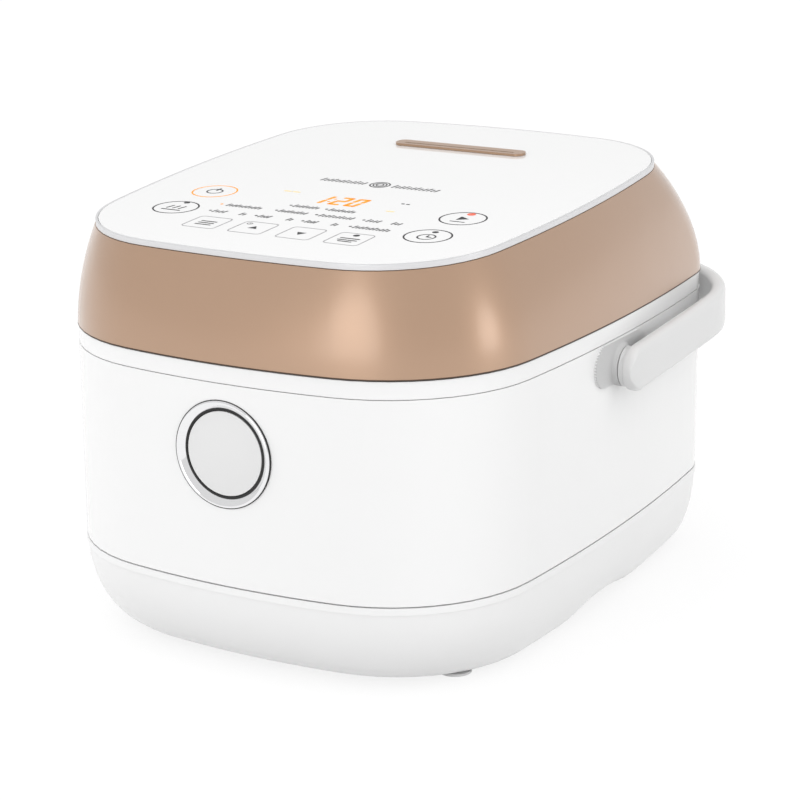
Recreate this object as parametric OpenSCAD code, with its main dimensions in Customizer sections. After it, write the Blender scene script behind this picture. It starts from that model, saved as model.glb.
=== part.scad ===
// Induction rice cooker with a hinged lid, a push-to-open front button and a carry handle.
// The front faces -Y, the floor is z = 0, and X is the width. All sizes are in millimetres.

/* [Case] */
// Width of the case across its sides
body_w = 245; // [235:1:260]
// Depth of the case from front to rear
body_d = 307; // [300:1:318]
// Height of the seam between the base and the case wall
seam_z = 46; // [43:1:49]
// Height of the case wall
wall_h = 97; // [93:1:101]
// Height of the collar between the case wall and the lid
collar_h = 8.2; // [8:0.2:10]
// Thickness of the plastic shells
wall_t = 2.4; // [1.8:0.1:3]
// Bulge radius of the front face
face_r = 385; // [340:5:450]
// Bulge radius of the rear face
rear_face_r = 1050; // [800:50:1500]
// Bulge radius of the two sides
side_r = 1090; // [900:10:1500]
// Radius of the two front upright corners
corner_r = 75; // [70:1:80]
// Radius of the two rear upright corners
rear_corner_r = 42; // [38:1:48]
// Gap at the seam between the base and the case wall
seam_gap = 0.6; // [0.4:0.1:1]
// How far the case wall stands in from the seam bead
wall_inset = 0.3; // [0.2:0.1:0.8]
// How far the collar stands in from the lid band
collar_inset = 0.6; // [0.4:0.1:1.2]

/* [Base] */
// How far the footprint stands in from the seam at the sides
foot_inset = 19; // [16:1:22]
// How far the footprint stands in at the front
foot_front = 30; // [26:1:33]
// How far the footprint stands in at the rear
foot_rear = 8; // [6:1:12]
// Height of the upright bead under the seam
bead_h = 4; // [3:0.5:6]
// Height of the side recess between the front and rear feet
recess_h = 4.5; // [3:0.5:7]
// Distance of the recess centre behind the centre of the case
recess_y = 16; // [10:1:22]
// Length of the recess at half its height
recess_l = 50; // [40:1:60]
// Thickness of the rubber foot pads
pad_t = 1.2; // [0.8:0.1:2]
// Radius of the foot pads
pad_r = 8; // [6:0.5:9]

/* [Lid] */
// Height of the lid's coloured band
band_h = 54.7; // [51:0.1:58]
// How far the band leans in at the sides, up to its top
band_lean = 11.2; // [9:0.2:14]
// How far the band leans in at the front
band_lean_front = 10.7; // [9:0.1:14]
// How far the band leans in at the rear
band_lean_rear = 28.5; // [24:0.5:31]
// How late the band starts to lean in, as a power
band_curve = 1.7; // [1.5:0.1:2.2]
// Bulge radius of the top panel's front edge
panel_face_r = 680; // [560:10:800]
// Bulge radius of the top panel's rear edge
panel_rear_r = 475; // [400:5:600]
// Bulge radius of the top panel's sides
panel_side_r = 800; // [650:10:1000]
// Radius of the top panel's front corners
panel_corner_r = 61; // [56:1:66]
// Radius of the top panel's rear corners
panel_rear_corner_r = 59; // [54:1:64]
// Thickness of the top panel
panel_t = 3; // [2.4:0.2:4]
// Width of the silver rim around the top panel
rim_w = 1.6; // [1.2:0.1:2.4]
// Rise of the top from front to rear, in degrees
top_slope = 3.2; // [2.8:0.1:3.4]
// Gap between the lid and the collar
lid_gap = 0.6; // [0.5:0.1:0.9]

/* [Pot] */
// Radius of the inner pot's wall, outside
pot_r = 91; // [86:0.5:92]
// Height of the inner pot
pot_h = 110; // [104:1:111]
// Wall thickness of the inner pot
pot_t = 2.2; // [1.6:0.1:2.6]
// Width of the inner pot's rolled flange
flange_w = 7; // [6:0.5:8]
// Thickness of the flange
flange_t = 2; // [1.6:0.1:2.4]
// Radius of the curve between the pot's wall and floor
pot_curve_r = 26; // [20:1:32]
// Distance of the pot's centre in front of the case's centre
pot_forward = 22; // [20:1:23]

/* [Button and latch] */
// Height of the centre of the open button
button_z = 109.4; // [106:0.2:112]
// Radius of the open button
button_r = 20; // [18:0.2:20.6]
// Outer radius of the chrome ring
ring_r = 25.5; // [24.6:0.1:26]
// Clear gap between the button and the ring
button_gap = 0.4; // [0.3:0.1:0.7]
// Travel of the open button
button_travel = 3; // [2:0.5:3]
// Radius of the button's stem
stem_r = 4; // [3:0.5:4.5]
// Height of the latch pivot above the button's centre
latch_rise = 15.5; // [14:0.5:18]
// Width of the latch
latch_w = 12; // [8:1:14]

/* [Hinge] */
// Distance of the hinge axis in front of the rear face
hinge_in = 5; // [4.8:0.2:6.4]
// Drop of the hinge axis below the lid's lower edge
hinge_drop = 4.6; // [4.4:0.2:5.2]
// Radius of the hinge pin
hinge_pin_r = 2; // [1.6:0.1:2.2]
// Radius of the hinge knuckles
knuckle_r = 4; // [3.6:0.1:4.2]
// Half width of the hinge recess in the collar
hinge_half = 66; // [64:1:70]

/* [Carry handle] */
// Height of the handle's pivot
handle_z = 128.7; // [127:0.1:129.4]
// Distance of the pivot behind the centre of the case
handle_behind = 8.4; // [4:0.2:12]
// Thickness of the handle
handle_t = 7.3; // [6.5:0.1:8.5]
// Height of the handle's section
handle_h = 22.6; // [20:0.2:23.4]
// Radius of the handle's rounded edges
handle_edge = 3; // [2.6:0.1:3.4]
// Clear gap between the case and the handle's arms
arm_gap = 5; // [4.6:0.2:6.5]
// Clear gap between the rear face and the crossbar
bar_gap = 20; // [19:1:24]
// Outside radius of the handle's rear corners
bail_r = 67; // [60:1:74]
// How far the crossbar bows out over the handle's width
bar_bow = 49; // [36:1:54]
// Rise of the handle at rest, in degrees
handle_rise = 3.2; // [2.4:0.1:3.3]
// Radius of the handle's pivot pins
handle_pin_r = 5; // [4:0.5:6]
// Length of the ears that carry the handle
ear_l = 56; // [50:1:60]
// Half height of the ears
ear_r = 10.6; // [9:0.2:11]
// How far the ears stand proud of the case
ear_proud = 0.9; // [0.6:0.1:1.2]

/* [Top controls] */
// Length of the steam slot
steam_l = 73; // [66:1:80]
// Width of the steam slot
steam_w = 7; // [6:0.5:9]
// Distance of the steam slot behind the panel's centre
steam_y = 72; // [68:1:76]
// Height of the steam cap below the panel
steam_depth = 18; // [12:1:20]

/* [Cooling and power] */
// Width of the cooling fan's square frame
fan_w = 60; // [50:1:64]
// Thickness of the cooling fan
fan_t = 15; // [10:1:16]
// Clear gap between the heater and the cooling fan
fan_gap = 1; // [0.5:0.5:5]
// Height of free air between the fan and the power board
fan_air = 13.4; // [8:0.2:16]
// Number of fan blades
fan_blades = 7; // [5:1:9]
// Width of the power board
board_w = 124; // [110:1:126]
// Height of the power board
board_h = 84; // [70:1:84]
// Thickness of the circuit boards
board_t = 1.6; // [1.2:0.2:2]
// Width of the power inlet's opening
inlet_w = 27; // [24:1:30]
// Height of the power inlet's opening
inlet_h = 19; // [16:1:22]
// Depth of the power inlet's socket
inlet_depth = 17; // [14:1:18]
// Height of the power inlet's centre
inlet_z = 66; // [62:1:76]

/* [Hidden] */

$fn = 64;
fit = 0.05;          // radial clearance of a running fit
clear = 0.3;         // clearance between parts that stay apart
cut = 1;             // overrun of a cutting tool
face_steps = 5;      // segments in half a front or rear face
corner_steps = 11;   // segments in a corner
side_steps = 10;     // segments in half a side
band_steps = 9;      // levels up the lid band
base_steps = 8;      // levels down the curved base

half_w = body_w / 2;
half_d = body_d / 2;
collar_z = seam_z + wall_h;
rim_top = collar_z + collar_h;
lid_z = rim_top + lid_gap;
band_top = lid_z + band_h;
rise = tan(top_slope);
wall_face = half_d - wall_inset;
handle_back = half_d + bar_gap + handle_t;
centre_y = (half_d - handle_back) / 2;

deck_t = 3;
deck_z = rim_top - 2;
seat_z = deck_z;
pot_floor = seat_z + flange_t - pot_h;
well_r = pot_r + 5;
flange_r = pot_r + flange_w;
well_t = 2;
well_floor = pot_floor - 2.5;
coil_top = well_floor - well_t - clear;
coil_t = 4;
former_t = 3;
former_top = coil_top - coil_t;
former_r = pot_r - 9;
ferrite_t = 5;
plate_t = 2.5;
plate_z = pad_t;
floor_z = plate_z + plate_t;
pot_y = -pot_forward;

plate_half_w = half_w - foot_inset - 24;
plate_front = half_d - foot_front - 16;
plate_rear = half_d - foot_rear - 12;
plate_corner = 46;
ear_z = collar_z - clear - ear_r;

bead_step = 0.4;
ear_x = half_w + ear_proud;
arm_in = half_w + arm_gap;
arm_out = arm_in + handle_t;
arm_side_r = 6000;
bow_r = (arm_out ^ 2 + bar_bow ^ 2) / (2 * bar_bow);
handle_y = handle_behind;
ear_back = half_w - 9;
stub_r = handle_h / 2 - 1.3;
hub_in = arm_in - 1.5;
stub_x = hub_in - 0.4;
boss_r = handle_pin_r + 2;
flare_r = stub_x - ear_x;
skirt_h = 5;

hinge_y = half_d - hinge_in;
hinge_z = lid_z - hinge_drop;
latch_y = -half_d + 19.5;
latch_z = button_z + latch_rise;
latch_t = 3.5;
frame_z = lid_z + 4;
frame_t = 2.5;
strike_t = 1.5;
strike_y = latch_y + 5.5;
nose_z = frame_z + frame_t + strike_t + clear;
stem_end = latch_y - latch_t / 2 - clear;
front_face = -wall_face;
button_back = front_face + 8;
guide_z = button_back + button_travel + 0.5;

fan_y = pot_y + former_r + fan_gap + fan_w / 2;
fan_z = floor_z + clear;
board_y = pot_y + well_r + 4;
board_z = fan_z + fan_t + fan_air;
board_part_in = 4;
transistor_t = 4.6;
sink_y = board_y + board_t + transistor_t + 0.4;
sink_d = 28;
inlet_back = wall_face - inlet_depth - 4;

// ---- Outline of the case: four bulged sides joined by round corners ----

function corner_centre(a, b, rf, rs, rc) =
    let (face = [0, rf - b], side = [a - rs, 0], gap = side - face, d = norm(gap),
         along = ((rf - rc) ^ 2 - (rs - rc) ^ 2 + d ^ 2) / (2 * d),
         across = sqrt((rf - rc) ^ 2 - along ^ 2),
         u = gap / d, v = [-u.y, u.x],
         p = face + along * u + across * v, q = face + along * u - across * v)
    p.x > q.x ? p : q;

function arc(c, r, from, to, steps) =
    [for (i = [0 : steps - 1]) let (t = from + (to - from) * i / steps) [c.x + r * cos(t), c.y + r * sin(t)]];

// The points of one quarter, from the middle of the front to just before the middle of the right side
function quarter(a, b, rf, rs, rc) =
    let (p = corner_centre(a, b, rf, rs, rc), face = [0, rf - b], side = [a - rs, 0],
         bend = atan2(p.y - face.y, p.x - face.x), turn = atan2(p.y - side.y, p.x - side.x))
    concat(arc(face, rf, -90, bend, face_steps), arc(p, rc, bend, turn, corner_steps),
           arc(side, rs, turn, 0, side_steps));

function mirrored(q, a) = concat([[a, 0]], [for (i = [len(q) - 1 : -1 : 1]) [q[i].x, -q[i].y]]);

// A whole outline: radii holds the front face, the rear face, the sides, the front and the rear corners
function outline(a, front, rear, radii) =
    let (near = quarter(a, front, radii[0], radii[2], radii[3]),
         far = quarter(a, rear, radii[1], radii[2], radii[4]),
         right = concat(near, mirrored(far, a)))
    concat(right, [[0, rear]], [for (i = [len(right) - 1 : -1 : 1]) [-right[i].x, right[i].y]]);

case_radii = [face_r, rear_face_r, side_r, corner_r, rear_corner_r];
panel_radii = [panel_face_r, panel_rear_r, panel_side_r, panel_corner_r, panel_rear_corner_r];
sole_radii = [face_r, rear_face_r, side_r, plate_corner, plate_corner];

function less(radii, inset) = [for (r = radii) r - inset];

// The case's outline, moved in by an inset all round
function case_line(inset) =
    outline(half_w - inset, half_d - inset, half_d - inset, less(case_radii, inset));

// The top panel's outline, moved in by an inset
function panel_line(inset) =
    outline(half_w - band_lean - inset, half_d - band_lean_front - inset,
            half_d - band_lean_rear - inset, less(panel_radii, inset));

function mix(p, q, t) = p + (q - p) * t;
function flat(lists) = [for (part = lists) each part];

// A solid through rings of equal length: open rings get end caps, and a closed loop of rings is a tube
module skin(rings, loop = false) {
    n = len(rings[0]);
    m = len(rings);
    strips = loop ? m : m - 1;
    walls = [
        for (k = [0 : strips - 1], i = [0 : n - 1], half = [0, 1])
            let (low = k * n, high = ((k + 1) % m) * n, j = (i + 1) % n)
            half == 0 ? [low + i, high + i, high + j] : [low + i, high + j, low + j]
    ];
    caps = loop ? [] : [[for (i = [0 : n - 1]) i], [for (i = [n - 1 : -1 : 0]) (m - 1) * n + i]];
    polyhedron(flat(rings), concat(walls, caps));
}

// Everything is placed so that the whole cooker, handle included, is centred on the origin
module in_case() {
    translate([0, centre_y, 0]) children();
}

module on_panel() {
    in_case() translate([0, 0, band_top]) rotate([top_slope, 0, 0]) translate([0, 0, panel_t]) children();
}

module case_plate(inset, z, h) {
    translate([0, 0, z]) linear_extrude(h) polygon(case_line(inset));
}

module panel_plate(inset, z, h) {
    translate([0, 0, z]) linear_extrude(h) polygon(panel_line(inset));
}

module tube(r_out, r_in, h) {
    difference() {
        cylinder(r = r_out, h = h);
        translate([0, 0, -cut]) cylinder(r = r_in, h = h + 2 * cut);
    }
}

module along_x(x, y, z) {
    translate([x, y, z]) rotate([0, 90, 0]) children();
}

module along_y(x, y, z) {
    translate([x, y, z]) rotate([-90, 0, 0]) children();
}

module round_plate(w, d, r, h) {
    union() {
        translate([-w / 2 + r, -d / 2, 0]) cube([w - 2 * r, d, h]);
        translate([-w / 2, -d / 2 + r, 0]) cube([w, d - 2 * r, h]);
        for (x = [-1, 1], y = [-1, 1]) {
            translate([x * (w / 2 - r), y * (d / 2 - r), 0]) cylinder(r = r, h = h);
        }
    }
}

// ---- Base ----

// Lift of the lower edge at a point along the side: a smooth rise between the feet
function side_lift(p) =
    let (edge = 14, reach = abs(p.y - recess_y) - recess_l / 2,
         near = min(max((edge - reach) / (2 * edge), 0), 1),
         wide = min(max((abs(p.x) - half_w + foot_inset + 40) / 20, 0), 1))
    recess_h * near * near * (3 - 2 * near) * wide;

// A level of the curved base: drop runs from 0 at the bead to 1 at the sole
function base_ring(drop, inset) =
    let (flare = 1 - cos(90 * drop) + 0.03 * sin(180 * drop), in = bead_step + inset,
         radii = less(case_radii, in) - flare * [0, 0, 0, 10, 14],
         q = outline(half_w - foot_inset * flare - in, half_d - foot_front * flare - in,
                     half_d - foot_rear * flare - in, radii),
         low = seam_z - bead_h, z = low - (low - plate_z) * sin(90 * drop) + inset * (1 - cos(90 * drop)))
    [for (p = q) [p.x, p.y, z + side_lift(p) * drop]];

function flat_ring(inset, z) =
    [for (p = outline(plate_half_w - inset, plate_front - inset, plate_rear - inset, less(sole_radii, inset)))
        [p.x, p.y, z]];

function case_ring(inset, z) = [for (p = case_line(inset)) [p.x, p.y, z]];

module base_shell() {
    outer = [for (i = [0 : base_steps]) base_ring(i / base_steps, 0)];
    inner = [for (i = [0 : base_steps]) base_ring(i / base_steps, wall_t)];
    rim = seam_z - seam_gap;
    bead = [case_ring(0, seam_z - bead_h), case_ring(0, rim), case_ring(wall_t, rim)];
    sole = flat_ring(0, plate_z);
    sole_in = flat_ring(0, plate_z + wall_t);
    rings = concat([sole], [for (i = [base_steps : -1 : 0]) outer[i]], bead, inner, [sole_in]);
    color("white") in_case() skin(rings, loop = true);
}

leg_r = 4;
screw_r = 1.5;
head_h = 1.2;
screw_l = 9;
leg_ring = former_r - 5;
leg_turn = 40;
leg_x = leg_ring * cos(leg_turn);
leg_y = leg_ring * sin(leg_turn);

module leg_places() {
    for (x = [-leg_x, leg_x], y = [-leg_y, leg_y]) translate([x, pot_y + y, 0]) children();
}

vent_pitch = 6;
vent_w = 3;
vent_in = 6;

module bottom_plate() {
    line = [for (p = flat_ring(clear, 0)) [p.x, p.y]];
    vents = floor(fan_w / vent_pitch / 2) - 1;
    color("gainsboro") in_case() difference() {
        translate([0, 0, plate_z]) linear_extrude(plate_t) polygon(line);
        for (i = [-vents : vents]) {
            translate([i * vent_pitch - vent_w / 2, fan_y - fan_w / 2 + vent_in, 0])
                cube([vent_w, fan_w - 2 * vent_in, floor_z + cut]);
        }
        leg_places() cylinder(r = screw_r + 0.1, h = floor_z + cut);
        leg_places() cylinder(r = screw_r + 2, h = plate_z + head_h);
    }
}

pad_x = half_w - foot_inset - 16;
pad_front = half_d - foot_front - 30;
pad_rear = half_d - foot_rear - 34;

module foot_pads() {
    color("dimgray") in_case() for (x = [-pad_x, pad_x], y = [-pad_front, pad_rear])
        translate([x, y, 0]) cylinder(r = pad_r, h = pad_t);
}

module base_screws() {
    color("silver") in_case() leg_places() {
        translate([0, 0, plate_z]) cylinder(r = screw_r + 1.4, h = head_h);
        translate([0, 0, plate_z + head_h]) cylinder(r = screw_r, h = screw_l);
    }
}

// ---- Case wall, collar and pot ----

// An upright pill-shaped plate on the side of the case, from x to x + t
module pill(x, t) {
    run = ear_l / 2 - ear_r;
    translate([x, handle_y - run, ear_z - ear_r]) cube([t, 2 * run, 2 * ear_r]);
    for (y = [-1, 1]) along_x(x, handle_y + y * run, ear_z) cylinder(r = ear_r, h = t);
}

// An ear: a long rounded boss whose middle flares out into a round stub
module ear() {
    root = half_w - wall_t;
    run = ear_l / 2 - ear_r;
    difference() {
        union() {
            pill(root, ear_x - root);
            along_x(ear_back, handle_y, handle_z) cylinder(r = boss_r, h = half_w - ear_back);
            along_x(ear_x - cut, handle_y, handle_z) cylinder(r = stub_r, h = flare_r + cut);
            intersection() {
                along_x(ear_x - cut, handle_y, handle_z) rotate_extrude() difference() {
                    square([stub_r + flare_r, flare_r + cut]);
                    translate([stub_r + flare_r, flare_r + cut]) circle(r = flare_r);
                }
                translate([root, handle_y - run, ear_z - ear_r]) cube([half_w, 2 * run, 2 * ear_r]);
            }
        }
        along_x(ear_back - cut, handle_y, handle_z) cylinder(r = handle_pin_r, h = half_w);
    }
}

module body_shell() {
    bezel = inlet_lip + clear;
    color("white") in_case() union() {
        difference() {
            case_plate(wall_inset, seam_z, wall_h - clear);
            case_plate(wall_inset + wall_t, seam_z - cut, wall_h + 2 * cut);
            along_y(0, -half_d - cut, button_z) cylinder(r = ring_r + clear, h = corner_r);
            translate([-inlet_w / 2 - bezel, 0, inlet_z - inlet_h / 2 - bezel])
                cube([inlet_w + 2 * bezel, half_d + cut, inlet_h + 2 * bezel]);
            for (side = [0, 1]) mirror([side, 0, 0])
                along_x(ear_back, handle_y, handle_z) cylinder(r = handle_pin_r + cut, h = half_w);
        }
        for (side = [0, 1]) mirror([side, 0, 0]) ear();
    }
}

// Latch slot through the collar's deck and the lid's frame
module latch_slot(z, h) {
    side = 3;
    translate([-latch_w / 2 - side, latch_y - 12.5, z]) cube([latch_w + 2 * side, 19, h]);
}

module upper_frame() {
    skirt_z = collar_z - skirt_h;
    skirt_inset = wall_inset + wall_t + clear;
    through = 30;
    color("white") in_case() difference() {
        union() {
            difference() {
                case_plate(collar_inset, collar_z, collar_h);
                case_plate(collar_inset + wall_t, collar_z - cut, collar_h + 2 * cut);
            }
            difference() {
                case_plate(skirt_inset, skirt_z, deck_z - skirt_z);
                case_plate(skirt_inset + wall_t, skirt_z - cut, deck_z - deck_t - skirt_z + cut);
            }
        }
        translate([0, pot_y, skirt_z - cut]) cylinder(r = well_r - well_t, h = through);
        latch_slot(skirt_z - cut, through);
        translate([-hinge_half, hinge_y - knuckle_r - 3, collar_z - clear])
            cube([2 * hinge_half, through, collar_h + cut]);
    }
    hinge_lugs();
}

lug_w = 10;
lug_x = hinge_half - lug_w - 4;

module hinge_lugs() {
    color("white") in_case() for (side = [0, 1]) mirror([side, 0, 0]) difference() {
        union() {
            along_x(lug_x, hinge_y, hinge_z) cylinder(r = knuckle_r, h = lug_w);
            translate([lug_x, hinge_y - knuckle_r - 4, collar_z - 4])
                cube([lug_w, knuckle_r + 4, hinge_z - collar_z + 4]);
        }
        along_x(lug_x - cut, hinge_y, hinge_z) cylinder(r = hinge_pin_r, h = lug_w + 2 * cut);
    }
}

module bowl_profile(r, low, high, curve) {
    union() {
        translate([0, low]) square([r - curve, high - low]);
        translate([0, low + curve]) square([r, high - low - curve]);
        intersection() {
            translate([r - curve, low + curve]) circle(r = curve);
            translate([0, low]) square([r, curve + cut]);
        }
    }
}

module pot_well() {
    color("lightgray") in_case() translate([0, pot_y, 0]) difference() {
        rotate_extrude() difference() {
            bowl_profile(well_r, well_floor - well_t, deck_z - deck_t - clear, pot_curve_r + 5);
            translate([0, cut]) bowl_profile(well_r - well_t, well_floor - cut, deck_z + 4, pot_curve_r + 3);
        }
        translate([0, 0, well_floor - well_t - cut]) cylinder(r = sensor_r + 1.5, h = 10);
    }
}

module inner_pot() {
    color("dimgray") in_case() translate([0, pot_y, 0]) rotate_extrude() difference() {
        union() {
            bowl_profile(pot_r, pot_floor, seat_z + flange_t, pot_curve_r);
            translate([0, seat_z]) square([flange_r, flange_t]);
        }
        translate([0, pot_t]) bowl_profile(pot_r - pot_t, pot_floor, seat_z + 20, pot_curve_r - pot_t);
    }
}

// ---- Induction heater and pot sensor ----

sensor_r = 11;
sensor_stem = 3;
sensor_top = pot_floor - clear;
boss_h = 10;

module coil_former() {
    low = former_top - former_t;
    color("ivory") in_case() union() {
        translate([0, pot_y, low]) tube(former_r, sensor_stem + fit, former_t);
        translate([0, pot_y, low - boss_h + 2]) tube(sensor_stem + 3, sensor_stem + fit, boss_h);
        leg_places() difference() {
            translate([0, 0, floor_z]) cylinder(r = leg_r, h = low - floor_z + cut);
            cylinder(r = screw_r + fit, h = plate_z + head_h + screw_l + 0.5);
        }
    }
}

coil_r = 24;
coil_space = 8;

// Two flat windings in series: an inner and an outer one, each as wide
module induction_coil() {
    band = (former_r - 2 - coil_r - coil_space) / 2;
    color("darkgoldenrod") in_case() translate([0, pot_y, former_top]) {
        tube(coil_r + band, coil_r, coil_t);
        tube(former_r - 2, former_r - 2 - band, coil_t);
    }
}

ferrite_in = 6;

module ferrite_bars() {
    bar_w = 12;
    color("darkslategray") in_case() translate([0, pot_y, former_top - former_t - ferrite_t])
        for (i = [0 : 5]) rotate([0, 0, 60 * i])
            translate([coil_r, -bar_w / 2, 0])
                cube([former_r - ferrite_in - coil_r, bar_w, ferrite_t - clear]);
}

module pot_sensor() {
    head = 4;
    low = former_top - former_t - boss_h;
    color("silver") in_case() translate([0, pot_y, 0]) union() {
        translate([0, 0, sensor_top - head]) cylinder(r = sensor_r, h = head);
        translate([0, 0, low]) cylinder(r = sensor_stem, h = sensor_top - cut - low);
    }
}

module sensor_spring() {
    color("gray") in_case() translate([0, pot_y, former_top + 0.1])
        tube(sensor_r - 3, sensor_r - 4.5, sensor_top - 4.2 - former_top);
}

// ---- Cooling fan, power board and inlet ----

fan_hub_r = 11;
fan_shaft_r = 1.5;
fan_web = 2;

module fan_housing() {
    spoke_w = 3;
    color("dimgray") in_case() translate([0, fan_y, fan_z]) union() {
        difference() {
            translate([-fan_w / 2, -fan_w / 2, 0]) cube([fan_w, fan_w, fan_t]);
            translate([0, 0, -cut]) cylinder(r = fan_w / 2 - fan_web, h = fan_t + 2 * cut);
        }
        difference() {
            union() {
                cylinder(r = fan_hub_r, h = fan_web);
                for (i = [0 : 3]) rotate([0, 0, 45 + 90 * i])
                    translate([0, -spoke_w / 2, 0]) cube([fan_w / 2 - 1, spoke_w, fan_web]);
            }
            translate([0, 0, -cut]) cylinder(r = fan_shaft_r, h = fan_web + 2 * cut);
        }
    }
}

module fan_impeller() {
    blade_t = 1.2;
    blade_w = 12;
    blade_pitch = 38;
    blade_l = fan_w / 2 - fan_hub_r - 2.5;
    color("darkslategray") in_case() translate([0, fan_y, fan_z]) union() {
        translate([0, 0, fan_web + clear]) cylinder(r = fan_hub_r, h = fan_t - fan_web - cut);
        translate([0, 0, 0.2]) cylinder(r = fan_shaft_r - fit, h = fan_web + 2 * cut);
        for (i = [0 : fan_blades - 1]) rotate([0, 0, 360 / fan_blades * i])
            translate([fan_hub_r - cut, 0, (fan_t + blade_t) / 2]) rotate([blade_pitch, 0, 0])
                translate([0, -blade_w / 2, -blade_t / 2]) cube([blade_l, blade_w, blade_t]);
    }
}

post_w = 6;
post_d = 8;
mount_y = board_y + board_t + 0.1;

module board_carrier() {
    rail_h = 3;
    color("ivory") in_case() translate([0, board_y, 0]) union() {
        for (side = [0, 1]) mirror([side, 0, 0]) difference() {
            translate([board_w / 2 - 1, -2, floor_z]) cube([post_w, post_d, board_z + board_h - floor_z + 4]);
            translate([0, -0.1, board_z - 0.1]) cube([board_w / 2 + 0.1, board_t + 0.2, board_h + 10]);
        }
        translate([-board_w / 2, -2, board_z - 2 - rail_h]) cube([board_w, post_d / 2, rail_h]);
    }
}

module power_board() {
    color("darkgreen") in_case() translate([-board_w / 2, board_y, board_z])
        cube([board_w, board_t, board_h]);
}

transistor_w = 16;
transistor_h = 20;
transistor_up = 30;
transistor_pitch = 18;

module power_transistors() {
    color("black") in_case() for (i = [-1 : 1])
        translate([i * transistor_pitch - transistor_w / 2, mount_y, board_z + transistor_up])
            cube([transistor_w, transistor_t, transistor_h]);
}

capacitor_w = 16;
capacitor_d = 22;
capacitor_h = 30;
capacitor_up = 46;
choke_r = 10;
choke_hole_r = 4.5;
choke_t = 11;
choke_up = 60;
choke_x = board_w / 2 - choke_r - 2;
sink_up = 10;

module heat_sink() {
    fin_pitch = 9.5;
    fin_t = 1.6;
    back_t = 4;
    sink_h = 56;
    side = 3;
    span = 2 * (choke_x - choke_r - side);
    fins = floor((span - fin_t) / fin_pitch) + 1;
    color("silver") in_case() translate([0, sink_y, board_z + sink_up]) union() {
        translate([-span / 2, 0, 0]) cube([span, back_t, sink_h]);
        for (i = [0 : fins - 1]) translate([(i - (fins - 1) / 2) * fin_pitch - fin_t / 2, back_t - cut, 0])
            cube([fin_t, sink_d - back_t + cut, sink_h]);
    }
}

module filter_capacitor() {
    color("gold") in_case()
        translate([board_w / 2 - board_part_in - capacitor_w, mount_y, board_z + capacitor_up])
            cube([capacitor_w, capacitor_d, capacitor_h]);
}

module line_choke() {
    color("darkorange") in_case() along_y(-choke_x, mount_y, board_z + choke_up)
        tube(choke_r, choke_hole_r, choke_t);
}

inlet_lip = 3;
inlet_pin_r = 1.5;
inlet_pin_places = [[-7, -2], [0, 3], [7, -2]];

module power_inlet() {
    skirt = 2;
    color("black") in_case() translate([0, 0, inlet_z]) difference() {
        union() {
            translate([-inlet_w / 2 - skirt, inlet_back, -inlet_h / 2 - skirt])
                cube([inlet_w + 2 * skirt, wall_face - inlet_back - 1, inlet_h + 2 * skirt]);
            translate([-inlet_w / 2 - inlet_lip, wall_face - 3, -inlet_h / 2 - inlet_lip])
                cube([inlet_w + 2 * inlet_lip, 3.4, inlet_h + 2 * inlet_lip]);
        }
        translate([-inlet_w / 2, wall_face - inlet_depth, -inlet_h / 2])
            cube([inlet_w, inlet_depth + cut, inlet_h]);
        for (p = inlet_pin_places)
            along_y(p.x, inlet_back - cut, p.y) cylinder(r = inlet_pin_r, h = inlet_depth / 2);
    }
}

module inlet_pins() {
    color("goldenrod") in_case() translate([0, 0, inlet_z])
        for (p = inlet_pin_places)
            along_y(p.x, inlet_back - inlet_lip, p.y) cylinder(r = inlet_pin_r, h = inlet_depth + 2);
}

// ---- Open button and latch ----

ring_proud = 0.8;
ring_t = 5;
housing_y = front_face + ring_t - ring_proud + 0.2;
tip_l = 3;
nose_t = 3.4;
latch_pin_r = 2;

module button_ring() {
    color("silver") in_case() along_y(0, front_face - ring_proud, button_z)
        tube(ring_r, button_r + button_gap, ring_t);
}

module button_housing() {
    mouth = 3;
    color("whitesmoke") in_case() difference() {
        along_y(0, housing_y, button_z) cylinder(r = ring_r + 1.5, h = guide_z + 2 - housing_y);
        along_y(0, front_face + mouth, button_z)
            cylinder(r = button_r + button_gap, h = guide_z - front_face - mouth);
        along_y(0, front_face, button_z) cylinder(r = stem_r + fit, h = half_d);
    }
}

dome_r = 150;
dome_set = 0.2;
skirt = 4;

module open_button() {
    color("whitesmoke") in_case() union() {
        intersection() {
            along_y(0, front_face - skirt, button_z)
                cylinder(r = button_r, h = button_back - front_face + skirt);
            translate([0, front_face + dome_r + dome_set, button_z]) sphere(r = dome_r, $fn = 128);
        }
        along_y(0, button_back - cut, button_z)
            cylinder(r = stem_r, h = stem_end - tip_l - button_back + cut);
        along_y(0, stem_end - tip_l - cut, button_z) cylinder(r = stem_r / 2, h = tip_l + cut);
    }
}

module button_spring() {
    wire = 1.4;
    color("gray") in_case() along_y(0, button_back + 0.1, button_z)
        tube(stem_r + 1.6 + wire, stem_r + 1.6, guide_z - button_back - 0.2);
}

module latch_lever() {
    low = button_z - 6;
    reach = strike_y - latch_y + latch_t / 2 + 3;
    color("silver") in_case() difference() {
        union() {
            translate([-latch_w / 2, latch_y - latch_t / 2, low])
                cube([latch_w, latch_t, nose_z + nose_t - low]);
            translate([-latch_w / 2, latch_y - latch_t / 2, nose_z]) cube([latch_w, reach, nose_t]);
            along_x(-latch_w / 2, latch_y, latch_z) cylinder(r = 2 * latch_pin_r, h = latch_w);
        }
        along_x(-latch_w, latch_y, latch_z) cylinder(r = latch_pin_r + fit, h = 2 * latch_w);
    }
}

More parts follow.
